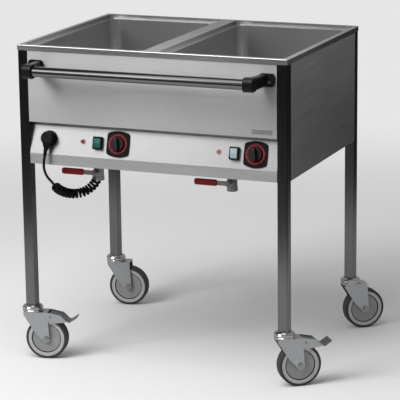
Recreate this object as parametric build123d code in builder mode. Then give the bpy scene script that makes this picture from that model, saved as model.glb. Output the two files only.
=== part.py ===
"""Mobile bain marie with two water wells, drain valves, a push bar and four swivel casters.

Millimetres. The origin is on the floor under the middle of the cabinet, +X is to the right,
the operator stands at -Y and +Z is up.
"""

from build123d import *
import math
import os

os.makedirs("parts", exist_ok=True)

# Driving dimensions of the cabinet
WIDTH = 755.0
DEPTH = 576.0
HEIGHT = 860.0
SHEET = 1.5
SKIRT = 14.0
RIM_CORNER = 4.0
RIM_FILLET = 1.2
RIM_INSET = 1.5
LEG = 28.0
LEG_WALL = 1.5
LEG_CORNER = 3.0
CASTER_HEIGHT = 149.0
PANEL_FOOT = 543.5
FLANGE = 15.0

# Wells, each for one full-size pan of 530 x 325 on a ledge
WELL_X = 193.0
RECESS_WIDTH = 342.0
RECESS_LENGTH = 550.0
RECESS_CORNER = 12.0
LEDGE_DROP = 10.0
WELL_WIDTH = 310.0
WELL_LENGTH = 510.0
WELL_CORNER = 30.0
WELL_FLOOR_CORNER = 18.0
WELL_FLOOR = 655.0

# Slanted control panel, seen from the side: foot of the slope, then its top
FRONT_PANEL_FOOT = 655.5
FRONT_FLANGE = 22.0
SLOPE_FOOT_Z = 571.5
SLOPE_TOP_Z = 646.0
SLOPE_RUN = 20.0
TOP_FLANGE = 14.0

# Places along the control panel, and up its slope from the foot
GROUP_PITCH = 383.2
KNOB_X = -95.6
ROCKER_X = -152.9
LAMP_X = -197.1
PARKING_X = -293.5
KNOB_UP = 39.7
ROCKER_UP = 38.8
LAMP_UP = 40.1
PARKING_UP = 41.6

# Push bar
BAR_DIAMETER = 27.0
BAR_WALL = 2.0
BAR_Z = 806.0
BAR_STANDOFF = 79.0
BRACKET_X = 306.0
FOOT_X = 323.0
SOCKET_LENGTH = 27.6
SOCKET_HEIGHT = 36.5
FOOT_WIDTH = 41.0
FOOT_HEIGHT = 34.0

# Drains
DRAIN_X = 191.0
DRAIN_Y = -196.0
VALVE_Z = 515.0
VALVE_LENGTH = 50.0
DRAIN_RADIUS = 10.6
LEVER_LENGTH = 94.0
LEVER_STANDOFF = 29.0

# Casters: trail directions in degrees from +X, front left, front right, back left, back right
WHEEL_RADIUS = 57.0
TRAIL = 38.7
TYRE_WIDTH = 30.0
RING_RADIUS = 49.5
AXLE_RADIUS = 5.0
RUNNING_GAP = 0.05
HEAD_DIAMETER = 56.0
CROWN_TOP = 131.0
FORK_SHEET = 2.5
FORK_INNER = 18.0
CASTERS = {
    "front_left": (-1, -1, 12.0),
    "front_right": (1, -1, 37.0),
    "back_left": (-1, 1, 11.0),
    "back_right": (1, 1, 38.0),
}

# Curly mains lead
CORD_DIAMETER = 7.0
COIL_RADIUS = 10.0
COIL_PITCH = 9.65

# Derived places
RIGHT_X = WIDTH / 2 - RIM_INSET
FRONT_Y = -(DEPTH / 2 - RIM_INSET)
LEG_X = RIGHT_X - LEG / 2
LEG_Y = -FRONT_Y - LEG / 2
LEG_BORE = LEG - 2 * LEG_WALL
BAY_X = RIGHT_X - LEG
BAY_Y = -FRONT_Y - LEG
LEDGE_Z = HEIGHT - LEDGE_DROP
LEDGE_UNDER = LEDGE_Z - SHEET
COVER_Z = PANEL_FOOT + SHEET
BAR_Y = FRONT_Y - BAR_STANDOFF
DRAIN_PLACES = [(-DRAIN_X, DRAIN_Y), (DRAIN_X, DRAIN_Y)]
WELL_PLACES = [(-WELL_X, 0), (WELL_X, 0)]

SLOPE_RISE = SLOPE_TOP_Z - SLOPE_FOOT_Z
SLOPE_LENGTH = math.hypot(SLOPE_RUN, SLOPE_RISE)
SLOPE_NORMAL = (0, -SLOPE_RISE / SLOPE_LENGTH, SLOPE_RUN / SLOPE_LENGTH)
# The slope's own plane: x to the right, y up the slope, z out of the face
FACE = Plane(origin=(0, FRONT_Y, SLOPE_FOOT_Z), x_dir=(1, 0, 0), z_dir=SLOPE_NORMAL)
OUT_OF_FACE = Axis((0, 0, 0), SLOPE_NORMAL)
SIDES = {"left": 0.0, "right": GROUP_PITCH}


def save(piece, name):
    """Label one finished piece and write it to its own file."""
    piece.label = name
    export_step(piece, f"parts/{name}.step")


def face_plane(x, up, out=0.0):
    """The slope's plane moved to a place on the control panel, and out of its face."""
    return Plane(FACE.location * Location((x, up, out)))


# Top plate: rim, skirt, recess walls and ledges, all one sheet
with BuildPart() as top_plate:
    with BuildSketch(Plane.XY.offset(HEIGHT - SHEET)):
        RectangleRounded(WIDTH, DEPTH, RIM_CORNER)
        with Locations(*WELL_PLACES):
            RectangleRounded(RECESS_WIDTH, RECESS_LENGTH, RECESS_CORNER, mode=Mode.SUBTRACT)
    extrude(amount=SHEET)
    with BuildSketch(Plane.XY.offset(HEIGHT - SKIRT)):
        RectangleRounded(WIDTH, DEPTH, RIM_CORNER)
        RectangleRounded(
            WIDTH - 2 * SHEET, DEPTH - 2 * SHEET, RIM_CORNER - SHEET, mode=Mode.SUBTRACT
        )
    extrude(amount=SKIRT)
    with BuildSketch(Plane.XY.offset(LEDGE_UNDER)):
        with Locations(*WELL_PLACES):
            RectangleRounded(
                RECESS_WIDTH + 2 * SHEET, RECESS_LENGTH + 2 * SHEET, RECESS_CORNER + SHEET
            )
            RectangleRounded(RECESS_WIDTH, RECESS_LENGTH, RECESS_CORNER, mode=Mode.SUBTRACT)
    extrude(amount=HEIGHT - LEDGE_UNDER)
    with BuildSketch(Plane.XY.offset(LEDGE_UNDER)):
        with Locations(*WELL_PLACES):
            RectangleRounded(
                RECESS_WIDTH + 2 * SHEET, RECESS_LENGTH + 2 * SHEET, RECESS_CORNER + SHEET
            )
            RectangleRounded(WELL_WIDTH, WELL_LENGTH, WELL_CORNER, mode=Mode.SUBTRACT)
    extrude(amount=SHEET)
    rim_edges = top_plate.edges().filter_by(Plane.XY).group_by(Axis.Z)[-1]
    outer_rim = [
        edge
        for edge in rim_edges
        if abs(edge.center().X) > WIDTH / 2 - RIM_CORNER
        or abs(edge.center().Y) > DEPTH / 2 - RIM_CORNER
    ]
    fillet(outer_rim, RIM_FILLET)
save(top_plate.part, "top_plate")

# Water wells: welded tubs with rounded walls and floor, and a drain hole in the floor
for side, (x, y) in zip(SIDES, WELL_PLACES):
    with BuildPart() as well:
        with BuildSketch(Plane((x, y, WELL_FLOOR - SHEET))):
            RectangleRounded(WELL_WIDTH + 2 * SHEET, WELL_LENGTH + 2 * SHEET, WELL_CORNER + SHEET)
        extrude(amount=LEDGE_UNDER - WELL_FLOOR + SHEET)
        fillet(well.edges().group_by(Axis.Z)[0], WELL_FLOOR_CORNER + SHEET)
        offset(amount=-SHEET, openings=well.faces().sort_by(Axis.Z)[-1])
        with BuildSketch(Plane((math.copysign(DRAIN_X, x), DRAIN_Y, WELL_FLOOR - 2 * SHEET))):
            Circle(DRAIN_RADIUS - SHEET)
        extrude(amount=3 * SHEET, mode=Mode.SUBTRACT)
    save(well.part, f"well_{side}")

# Front panel: flat between the legs, its foot turned back and down to the control panel's top
with BuildPart() as front_panel:
    with BuildSketch(Plane.YZ.offset(-BAY_X)):
        with BuildLine():
            panel_face = Polyline(
                (FRONT_Y, LEDGE_UNDER),
                (FRONT_Y, FRONT_PANEL_FOOT),
                (FRONT_Y + FRONT_FLANGE, FRONT_PANEL_FOOT),
                (FRONT_Y + FRONT_FLANGE, SLOPE_TOP_Z),
            )
            offset(panel_face, amount=SHEET, side=Side.LEFT)
        make_face()
    extrude(amount=2 * BAY_X)
    front_edge = front_panel.edges().filter_by(Axis.X).sort_by(Axis.Y)[:4].sort_by(Axis.Z)[0]
    fillet(front_edge, SHEET)
save(front_panel.part, "front_panel")

# Side panels: flush with the legs' outer faces, the foot turned in
for side, sign in (("left", -1), ("right", 1)):
    with BuildPart() as side_panel:
        with BuildSketch(Plane.XY.offset(PANEL_FOOT)):
            with Locations((sign * (RIGHT_X - SHEET / 2), 0)):
                Rectangle(SHEET, 2 * BAY_Y)
        extrude(amount=LEDGE_UNDER - PANEL_FOOT)
        with BuildSketch(Plane.XY.offset(PANEL_FOOT)):
            with Locations((sign * (RIGHT_X - FLANGE / 2), 0)):
                Rectangle(FLANGE, 2 * BAY_Y)
        extrude(amount=SHEET)
        low_edges = side_panel.edges().filter_by(Axis.Y).group_by(Axis.Z)[0].sort_by(Axis.X)
        fillet(low_edges[-1] if sign > 0 else low_edges[0], SHEET)
    save(side_panel.part, f"side_panel_{side}")

# Back panel: flat between the back legs, the foot turned in
with BuildPart() as back_panel:
    with BuildSketch(Plane.XY.offset(PANEL_FOOT)):
        with Locations((0, -FRONT_Y)):
            Rectangle(2 * BAY_X, SHEET, align=(Align.CENTER, Align.MAX))
    extrude(amount=LEDGE_UNDER - PANEL_FOOT)
    with BuildSketch(Plane.XY.offset(PANEL_FOOT)):
        with Locations((0, -FRONT_Y)):
            Rectangle(2 * BAY_X, FLANGE, align=(Align.CENTER, Align.MAX))
    extrude(amount=SHEET)
    back_edge = back_panel.edges().filter_by(Axis.X).group_by(Axis.Z)[0].sort_by(Axis.Y)[-1]
    fillet(back_edge, SHEET)
save(back_panel.part, "back_panel")

# Legs: square tubes from the casters up to the ledges' underside
for row, y in (("front", -LEG_Y), ("back", LEG_Y)):
    with BuildPart() as legs:
        with BuildSketch(Plane.XY.offset(CASTER_HEIGHT)):
            with Locations((-LEG_X, y), (LEG_X, y)):
                RectangleRounded(LEG, LEG, LEG_CORNER)
                RectangleRounded(LEG_BORE, LEG_BORE, LEG_CORNER - LEG_WALL, mode=Mode.SUBTRACT)
        extrude(amount=LEDGE_UNDER - CASTER_HEIGHT)
    save(legs.part, f"{row}_legs")

# Holes and pockets of the control panel, by what they hold
BUSH_HOLE = 4.8
SWITCH_HOLE = (21.8, 32.2)
LAMP_HOLE = 5.2
PARKING_HOLE = 19.8

with BuildPart() as control_panel:
    with BuildSketch(Plane.YZ.offset(-BAY_X)):
        with BuildLine():
            outer_face = Polyline(
                (FRONT_Y + SLOPE_RUN + TOP_FLANGE, SLOPE_TOP_Z),
                (FRONT_Y + SLOPE_RUN, SLOPE_TOP_Z),
                (FRONT_Y, SLOPE_FOOT_Z),
                (FRONT_Y, PANEL_FOOT),
                (FRONT_Y + FLANGE, PANEL_FOOT),
            )
            offset(outer_face, amount=SHEET, side=Side.LEFT)
        make_face()
    extrude(amount=2 * BAY_X)
    for shift in SIDES.values():
        with BuildSketch(face_plane(KNOB_X + shift, KNOB_UP, 1.0)):
            Circle(BUSH_HOLE)
        extrude(amount=-4 * SHEET, mode=Mode.SUBTRACT)
        with BuildSketch(face_plane(ROCKER_X + shift, ROCKER_UP, 1.0)):
            Rectangle(*SWITCH_HOLE)
        extrude(amount=-4 * SHEET, mode=Mode.SUBTRACT)
        with BuildSketch(face_plane(LAMP_X + shift, LAMP_UP, 1.0)):
            Circle(LAMP_HOLE)
        extrude(amount=-4 * SHEET, mode=Mode.SUBTRACT)
    with BuildSketch(face_plane(PARKING_X, PARKING_UP, 1.0)):
        Circle(PARKING_HOLE)
    extrude(amount=-4 * SHEET, mode=Mode.SUBTRACT)
save(control_panel.part, "control_panel")

# Push bar: a straight tube between its brackets
with BuildPart() as push_bar:
    with BuildSketch(Plane((-BRACKET_X, BAR_Y, BAR_Z), x_dir=(0, 1, 0), z_dir=(1, 0, 0))):
        Circle(BAR_DIAMETER / 2)
        Circle(BAR_DIAMETER / 2 - BAR_WALL, mode=Mode.SUBTRACT)
    extrude(amount=2 * BRACKET_X)
save(push_bar.part, "push_bar")

# Bracket: a socket over the bar's end, an arm that sweeps back and a foot on the panel
FOOT_SHEET = 6.0
ARM_FOOT_X = FOOT_X - 8.0
ARM_FOOT_WIDTH = 19.0
ARM_INSET = 4.0
ARM_CORNER = 6.0
SCREW_X = FOOT_X + 6.5
SCREW_DROP = 5.0
SCREW_SHANK = 2.5
SCREW_HEAD = 4.8
HEAD_HEIGHT = 2.6
HEAD_SINK = 3.0
SCREW_GAP = 0.1
HEAD_GAP = 0.4
with BuildPart() as bar_brackets:
    for sign in (-1, 1):
        socket_start = (sign * (BRACKET_X - SOCKET_LENGTH / 2), BAR_Y, BAR_Z)
        socket_plane = Plane(socket_start, x_dir=(0, 1, 0), z_dir=(sign, 0, 0))
        with BuildSketch(socket_plane):
            RectangleRounded(SOCKET_HEIGHT, SOCKET_HEIGHT, 13.0)
        extrude(amount=SOCKET_LENGTH)
        fillet(bar_brackets.faces().sort_by(Axis.X)[0 if sign < 0 else -1].edges(), 4.0)
        arm_front = (sign * BRACKET_X, BAR_Y + BAR_DIAMETER / 4, BAR_Z)
        with BuildSketch(Plane(arm_front, x_dir=(1, 0, 0), z_dir=(0, 1, 0))):
            RectangleRounded(SOCKET_LENGTH, SOCKET_HEIGHT - ARM_INSET, ARM_CORNER)
        arm_back = (sign * ARM_FOOT_X, FRONT_Y - FOOT_SHEET, BAR_Z)
        with BuildSketch(Plane(arm_back, x_dir=(1, 0, 0), z_dir=(0, 1, 0))):
            RectangleRounded(ARM_FOOT_WIDTH, FOOT_HEIGHT - ARM_INSET, ARM_CORNER)
        loft()
        foot_place = (sign * FOOT_X, FRONT_Y, BAR_Z)
        with BuildSketch(Plane(foot_place, x_dir=(1, 0, 0), z_dir=(0, -1, 0))):
            RectangleRounded(FOOT_WIDTH, FOOT_HEIGHT, 8.0)
        extrude(amount=FOOT_SHEET)
        with BuildSketch(socket_plane):
            Circle(BAR_DIAMETER / 2)
        extrude(amount=SOCKET_LENGTH / 2, mode=Mode.SUBTRACT)
        with Locations(
            Plane(
                (sign * SCREW_X, FRONT_Y - FOOT_SHEET, BAR_Z - SCREW_DROP),
                x_dir=(1, 0, 0),
                z_dir=(0, -1, 0),
            )
        ):
            CounterBoreHole(
                SCREW_SHANK + SCREW_GAP, SCREW_HEAD + HEAD_GAP, HEAD_SINK, FOOT_SHEET
            )
save(bar_brackets.part, "bar_brackets")

# Bracket screws: pan heads sunk in the feet
with BuildPart() as bracket_screws:
    for sign in (-1, 1):
        screw_seat = (sign * SCREW_X, FRONT_Y - FOOT_SHEET + HEAD_SINK, BAR_Z - SCREW_DROP)
        with BuildSketch(Plane(screw_seat, x_dir=(1, 0, 0), z_dir=(0, -1, 0))):
            Circle(SCREW_HEAD)
        extrude(amount=HEAD_HEIGHT)
        with BuildSketch(Plane(screw_seat, x_dir=(1, 0, 0), z_dir=(0, 1, 0))):
            Circle(SCREW_SHANK)
        extrude(amount=FOOT_SHEET - HEAD_SINK)
save(bracket_screws.part, "bracket_screws")

# Pilot lamps: a round bezel with a domed lens and a barrel behind the panel
BEZEL_RADIUS = 7.0
BEZEL_HEIGHT = 2.0
LENS_RADIUS = 4.8
LENS_TOP = 4.4
LAMP_BARREL = 22.0
for side, shift in SIDES.items():
    with BuildPart() as pilot_lamp:
        with BuildSketch(face_plane(LAMP_X + shift, LAMP_UP)):
            Circle(BEZEL_RADIUS)
        extrude(amount=BEZEL_HEIGHT)
        fillet(pilot_lamp.edges().group_by(OUT_OF_FACE)[-1], 0.8)
        with BuildSketch(face_plane(LAMP_X + shift, LAMP_UP)):
            Circle(LENS_RADIUS)
        extrude(amount=LENS_TOP)
        fillet(pilot_lamp.edges().group_by(OUT_OF_FACE)[-1], 2.0)
        with BuildSketch(face_plane(LAMP_X + shift, LAMP_UP)):
            Circle(LAMP_HOLE - 0.2)
        extrude(amount=-LAMP_BARREL)
    save(pilot_lamp.part, f"pilot_lamp_{side}")

# Rocker switches: a raised frame over the panel, the case behind it, and the rocker
FRAME_WIDTH = 25.2
FRAME_LENGTH = 34.4
FRAME_HEIGHT = 11.0
CASE_DEPTH = 24.0
POCKET_DEPTH = 8.0
ROCKER_WIDTH = 18.4
ROCKER_REACH = 14.4
ROCKER_PIVOT = 2.0
ROCKER_TILT = 7.0
ROCKER_UNDER = 4.0
POCKET_GAP = 0.4
with BuildPart() as switch_bodies:
    for shift in SIDES.values():
        with BuildSketch(face_plane(ROCKER_X + shift, ROCKER_UP)):
            RectangleRounded(FRAME_WIDTH, FRAME_LENGTH, 3.0)
        extrude(amount=FRAME_HEIGHT, taper=4)
        with BuildSketch(face_plane(ROCKER_X + shift, ROCKER_UP)):
            Rectangle(SWITCH_HOLE[0] - 1.0, SWITCH_HOLE[1] - 1.0)
        extrude(amount=-CASE_DEPTH)
        pocket_floor = ROCKER_PIVOT - POCKET_DEPTH
        with BuildSketch(face_plane(ROCKER_X + shift, ROCKER_UP, pocket_floor)):
            Rectangle(ROCKER_WIDTH + 2 * POCKET_GAP, 2 * (ROCKER_REACH + POCKET_GAP))
        extrude(amount=FRAME_HEIGHT - pocket_floor, mode=Mode.SUBTRACT)
save(switch_bodies.part, "switch_bodies")

tilt = math.radians(ROCKER_TILT)
crest = FRAME_HEIGHT - ROCKER_PIVOT + 0.5
fall = (ROCKER_REACH - 1.0) * math.tan(tilt)
for side, shift in SIDES.items():
    pivot = face_plane(ROCKER_X + shift, ROCKER_UP, ROCKER_PIVOT)
    # The rocker's profile lies in the plane across its pivot, tilted to one of its two stops
    profile_plane = Plane(
        origin=pivot.origin - pivot.x_dir * ROCKER_WIDTH / 2,
        x_dir=pivot.y_dir * math.cos(tilt) + pivot.z_dir * math.sin(tilt),
        z_dir=pivot.x_dir,
    )
    with BuildPart() as rocker:
        with BuildSketch(profile_plane):
            Circle(ROCKER_REACH)
            with BuildLine():
                Polyline(
                    (-ROCKER_REACH, -ROCKER_UNDER),
                    (ROCKER_REACH, -ROCKER_UNDER),
                    (ROCKER_REACH, crest - fall),
                    (0, crest),
                    (-ROCKER_REACH, crest - fall),
                    close=True,
                )
            make_face(mode=Mode.INTERSECT)
        extrude(amount=ROCKER_WIDTH)
    save(rocker.part, f"rocker_{side}")

# Dial plates: a barrel-shaped black plate with a raised ring round the knob
DIAL_HALF_WIDTH = 32.2
DIAL_HALF_HEIGHT = 34.5
DIAL_SHOULDER = (31.4, 21.0)
DIAL_CORNER = (29.9, 26.4)
DIAL_CHEEK = (25.3, 29.4)
DIAL_HEIGHT = 3.5
RING_OUTER = 28.0
RING_INNER = 20.0
RING_HEIGHT = 1.5
KNOB_RADIUS = 18.5
SHAFT_RADIUS = 3.0
BUSH_RADIUS = 4.5
with BuildPart() as dial_plates:
    for shift in SIDES.values():
        with BuildSketch(face_plane(KNOB_X + shift, KNOB_UP)):
            with BuildLine():
                ThreePointArc(
                    (0, DIAL_HALF_HEIGHT), (DIAL_CHEEK[0] / 2, DIAL_HALF_HEIGHT - 1.25), DIAL_CHEEK
                )
                ThreePointArc(DIAL_CHEEK, DIAL_CORNER, DIAL_SHOULDER)
                Line(DIAL_SHOULDER, (DIAL_HALF_WIDTH, 0))
                Line((DIAL_HALF_WIDTH, 0), (0, 0))
                Line((0, 0), (0, DIAL_HALF_HEIGHT))
            make_face()
            mirror(about=Plane.YZ)
            mirror(about=Plane.XZ)
        extrude(amount=DIAL_HEIGHT)
        with BuildSketch(face_plane(KNOB_X + shift, KNOB_UP, DIAL_HEIGHT)):
            Circle(RING_OUTER)
            Circle(RING_INNER, mode=Mode.SUBTRACT)
        extrude(amount=RING_HEIGHT)
        with BuildSketch(face_plane(KNOB_X + shift, KNOB_UP)):
            Circle(BUSH_RADIUS + 0.5)
        extrude(amount=DIAL_HEIGHT, mode=Mode.SUBTRACT)
save(dial_plates.part, "dial_plates")

# Thermostats behind the panel: a case and a threaded bush that carries the shaft
THERMOSTAT_CASE = (38.0, 34.0)
THERMOSTAT_DEPTH = 30.0
SHAFT_DEPTH = 18.0
SHAFT_END = 15.0
with BuildPart() as thermostats:
    for shift in SIDES.values():
        with BuildSketch(face_plane(KNOB_X + shift, KNOB_UP, -SHEET)):
            RectangleRounded(*THERMOSTAT_CASE, 3.0)
        extrude(amount=-THERMOSTAT_DEPTH)
        with BuildSketch(face_plane(KNOB_X + shift, KNOB_UP, -SHEET)):
            Circle(BUSH_RADIUS)
        extrude(amount=SHEET + DIAL_HEIGHT - 0.5)
        with BuildSketch(face_plane(KNOB_X + shift, KNOB_UP, DIAL_HEIGHT)):
            Circle(SHAFT_RADIUS + RUNNING_GAP)
        extrude(amount=-DIAL_HEIGHT - SHEET - SHAFT_DEPTH - 2.0, mode=Mode.SUBTRACT)
save(thermostats.part, "thermostats")

# Knobs, each a skirt with a finger grip across it, and the shafts they are pressed on
KNOB_LIFT = DIAL_HEIGHT + 1.0
KNOB_SKIRT = 7.0
KNOB_HEIGHT = 17.0
GRIP_LENGTH = 34.0
GRIP_WIDTH = 11.0
GRIP_TURN = 100.0
for side, shift in SIDES.items():
    with BuildPart() as thermostat_shaft:
        with BuildSketch(face_plane(KNOB_X + shift, KNOB_UP, -SHEET - SHAFT_DEPTH)):
            Circle(SHAFT_RADIUS)
        extrude(amount=SHEET + SHAFT_DEPTH + SHAFT_END)
    save(thermostat_shaft.part, f"thermostat_shaft_{side}")
    with BuildPart() as knob:
        with BuildSketch(face_plane(KNOB_X + shift, KNOB_UP, KNOB_LIFT)):
            Circle(KNOB_RADIUS)
        extrude(amount=KNOB_SKIRT, taper=5)
        with BuildSketch(face_plane(KNOB_X + shift, KNOB_UP, KNOB_LIFT)):
            SlotOverall(GRIP_LENGTH, GRIP_WIDTH, rotation=GRIP_TURN)
        extrude(amount=KNOB_HEIGHT, taper=3)
        with BuildSketch(face_plane(KNOB_X + shift, KNOB_UP, KNOB_LIFT)):
            Circle(SHAFT_RADIUS)
        extrude(amount=SHAFT_END - KNOB_LIFT, mode=Mode.SUBTRACT)
    save(knob.part, f"knob_{side}")

# Heating elements: a tube in four runs under each well's floor, clear of the drain in front
ELEMENT_RADIUS = 4.0
ELEMENT_Z = WELL_FLOOR - SHEET - ELEMENT_RADIUS
ELEMENT_PITCH = 50.0
ELEMENT_RUNS = 4
ELEMENT_FRONT = -130.0
ELEMENT_BACK = 190.0
for side, (x, y) in zip(SIDES, WELL_PLACES):
    run_ends = (ELEMENT_FRONT, ELEMENT_BACK)
    run_x = x - ELEMENT_PITCH * (ELEMENT_RUNS - 1) / 2
    with BuildPart() as heating_element:
        with BuildLine():
            for run in range(ELEMENT_RUNS):
                Line((run_x, run_ends[0], ELEMENT_Z), (run_x, run_ends[1], ELEMENT_Z))
                if run < ELEMENT_RUNS - 1:
                    past_end = math.copysign(ELEMENT_PITCH / 2, run_ends[1])
                    ThreePointArc(
                        (run_x, run_ends[1], ELEMENT_Z),
                        (run_x + ELEMENT_PITCH / 2, run_ends[1] + past_end, ELEMENT_Z),
                        (run_x + ELEMENT_PITCH, run_ends[1], ELEMENT_Z),
                    )
                run_ends = run_ends[::-1]
                run_x += ELEMENT_PITCH
        first_x = x - ELEMENT_PITCH * (ELEMENT_RUNS - 1) / 2
        with BuildSketch(Plane(origin=(first_x, ELEMENT_FRONT, ELEMENT_Z), z_dir=(0, 1, 0))):
            Circle(ELEMENT_RADIUS)
        sweep()
    save(heating_element.part, f"heating_element_{side}")

# Dummy parking socket: a cup behind the panel with a round flange, pin holes in its floor
SOCKET_FLANGE = 21.5
SOCKET_RIM = 4.0
PARKING_RECESS = 18.8
PARKING_DEPTH = 14.0
SOCKET_BACK = 24.0
PIN_LENGTH = 19.0
PIN_SPACING = 19.0
PIN_RADIUS = 2.4
with BuildPart() as parking_socket:
    with BuildSketch(face_plane(PARKING_X, PARKING_UP)):
        Circle(SOCKET_FLANGE)
    extrude(amount=SOCKET_RIM)
    fillet(parking_socket.edges().group_by(OUT_OF_FACE)[-1], 1.0)
    with BuildSketch(face_plane(PARKING_X, PARKING_UP)):
        Circle(PARKING_HOLE - 0.1)
    extrude(amount=-PARKING_DEPTH - SOCKET_BACK)
    with BuildSketch(face_plane(PARKING_X, PARKING_UP, -PARKING_DEPTH)):
        Circle(PARKING_RECESS)
    extrude(amount=PARKING_DEPTH + SOCKET_RIM, mode=Mode.SUBTRACT)
    with BuildSketch(face_plane(PARKING_X, PARKING_UP, -PARKING_DEPTH)):
        with GridLocations(PIN_SPACING, 0, 2, 1):
            Circle(PIN_RADIUS + 0.2)
    extrude(amount=-PIN_LENGTH - 1.0, mode=Mode.SUBTRACT)
save(parking_socket.part, "parking_socket")

# Mains plug: an angled plug whose neck and strain relief point down the slope
PLUG_RADIUS = 18.4
PLUG_TOP = 22.0
PLUG_FILLET = 4.0
NECK_LEAN = -5.0
NECK_OUT = 15.0
NECK_START = 12.0
RELIEF_START = 26.0
RELIEF_END = 48.0
NECK_SECTION = (18.0, 24.0)
RELIEF_RADIUS = 6.0
plug_seat = face_plane(PARKING_X, PARKING_UP, -PARKING_DEPTH)
plug_centre = face_plane(PARKING_X, PARKING_UP, NECK_OUT)
lean = math.radians(NECK_LEAN)
neck_dir = plug_centre.x_dir * math.sin(lean) - plug_centre.y_dir * math.cos(lean)


def neck_plane(along):
    """A plane square to the plug's neck, so far from the plug's middle."""
    return Plane(origin=plug_centre.origin + neck_dir * along, x_dir=plug_centre.z_dir, z_dir=neck_dir)


with BuildPart() as mains_plug:
    with BuildSketch(plug_seat):
        Circle(PLUG_RADIUS)
    extrude(amount=PARKING_DEPTH + PLUG_TOP)
    fillet(mains_plug.edges().group_by(OUT_OF_FACE)[-1], PLUG_FILLET)
    with BuildSketch(neck_plane(NECK_START)):
        RectangleRounded(*NECK_SECTION, 7.0)
    with BuildSketch(neck_plane(RELIEF_START)):
        RectangleRounded(2 * RELIEF_RADIUS + 2.0, 2 * RELIEF_RADIUS + 2.0, RELIEF_RADIUS)
    loft()
    with BuildSketch(neck_plane(RELIEF_START)):
        Circle(RELIEF_RADIUS)
    with BuildSketch(neck_plane(RELIEF_END)):
        Circle(CORD_DIAMETER / 2 + 0.8)
    loft()
    with BuildSketch(plug_seat):
        with GridLocations(PIN_SPACING, 0, 2, 1):
            Circle(PIN_RADIUS)
    extrude(amount=-PIN_LENGTH)
save(mains_plug.part, "mains_plug")

# The coil's middle line: from the lead round behind the valve lever and up to the gland
COIL_ROUTE = [
    Vector(-297.8, -257.0, 484.6),
    Vector(-301.4, -230.0, 466.7),
    Vector(-299.9, -205.6, 453.0),
    Vector(-291.9, -181.8, 441.4),
    Vector(-275.2, -160.1, 436.2),
    Vector(-253.2, -144.7, 443.0),
    Vector(-234.0, -136.0, 460.4),
    Vector(-222.0, -133.0, 486.0),
    Vector(-222.0, -133.0, 511.0),
]
# The mains lead runs from the strain relief down in front of the panel and back to the coil
LEAD_START = neck_plane(RELIEF_END).origin
FIRST_RUN = 17.5
LAST_RUN = 18.5
LEAD_ROUTE = [
    LEAD_START,
    LEAD_START + neck_dir * FIRST_RUN,
    Vector(-299.3, -305.6, 534.9),
    Vector(-298.3, -298.1, 518.9),
    Vector(-297.0, -286.3, 505.7),
    COIL_ROUTE[0] + (COIL_ROUTE[0] - COIL_ROUTE[1]).normalized() * LAST_RUN,
    COIL_ROUTE[0],
]


def bend_radii(route):
    """The largest radius that each corner's two runs allow."""
    radii = []
    for before, corner, after in zip(route, route[1:], route[2:]):
        run_in = corner - before
        run_out = after - corner
        half_turn = math.radians(run_in.get_angle(run_out)) / 2
        radii.append(0.45 * min(run_in.length, run_out.length) / math.tan(half_turn))
    return radii


lead_radii = bend_radii(LEAD_ROUTE)
with BuildPart() as cord_lead:
    with BuildLine() as lead_path:
        FilletPolyline(*LEAD_ROUTE, radius=lead_radii)
    with BuildSketch(Plane(origin=LEAD_START, z_dir=neck_dir)):
        Circle(CORD_DIAMETER / 2)
    sweep()
save(cord_lead.part, "cord_lead")
lead_length = lead_path.wires()[0].length
lead_volume = math.pi * (CORD_DIAMETER / 2) ** 2 * lead_length
print("lead: length", round(lead_length, 1), "radii", [round(r, 1) for r in lead_radii])
print("lead: volume over section times length", round(cord_lead.part.volume / lead_volume, 4))

# Curly coil: a helix about its middle line, which eases in and out of the line at both ends
COIL_EASE = 24.0
HELIX_STEP = 0.05
helix_angle = math.atan(COIL_PITCH / (2 * math.pi * COIL_RADIUS))
with BuildLine() as coil_middle:
    FilletPolyline(*COIL_ROUTE, radius=bend_radii(COIL_ROUTE))
coil_line = coil_middle.wires()[0]
coil_length = coil_line.length


def coil_spread(along):
    """How open the coil is, from 0 in its straight ends to 1 along its turns."""
    part_way = (min(along, coil_length - along) - CORD_DIAMETER) / COIL_EASE
    part_way = min(max(part_way, 0.0), 1.0)
    return part_way * part_way * (3 - 2 * part_way)


def turn_rate(along):
    """How fast the wire turns about its middle line, in radians for each millimetre of that line."""
    spread = coil_spread(along)
    if spread == 0:
        return 0.0
    slope = math.pi / 2 - (math.pi / 2 - helix_angle) * spread
    return 1 / (COIL_RADIUS * spread * math.tan(slope))


def wire_point(along, turned, across):
    """A place on the coiled wire, so far along its middle line and turned so far about it."""
    ahead = coil_line.tangent_at(along / coil_length)
    up = (across - ahead * across.dot(ahead)).normalized()
    offset_dir = up * math.cos(turned) + ahead.cross(up) * math.sin(turned)
    return coil_line.position_at(along / coil_length) + offset_dir * COIL_RADIUS * coil_spread(along)


# One node for each quarter turn: how far along the middle line, and how far turned about it
quarter_turns = [(CORD_DIAMETER, 0.0)]
along = CORD_DIAMETER
turned = 0.0
while along < coil_length - CORD_DIAMETER:
    along += HELIX_STEP
    turned += HELIX_STEP * turn_rate(along)
    if turned >= len(quarter_turns) * math.pi / 2:
        quarter_turns.append((along, turned))
quarter_turns[-1] = (coil_length - CORD_DIAMETER, turned)

across = Vector(0, 0, 1)
nodes = []
for along, turned in quarter_turns:
    ahead = coil_line.tangent_at(along / coil_length)
    across = (across - ahead * across.dot(ahead)).normalized()
    before = wire_point(along - HELIX_STEP, turned - HELIX_STEP * turn_rate(along), across)
    after = wire_point(along + HELIX_STEP, turned + HELIX_STEP * turn_rate(along), across)
    nodes.append((wire_point(along, turned, across), (after - before).normalized()))

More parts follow.
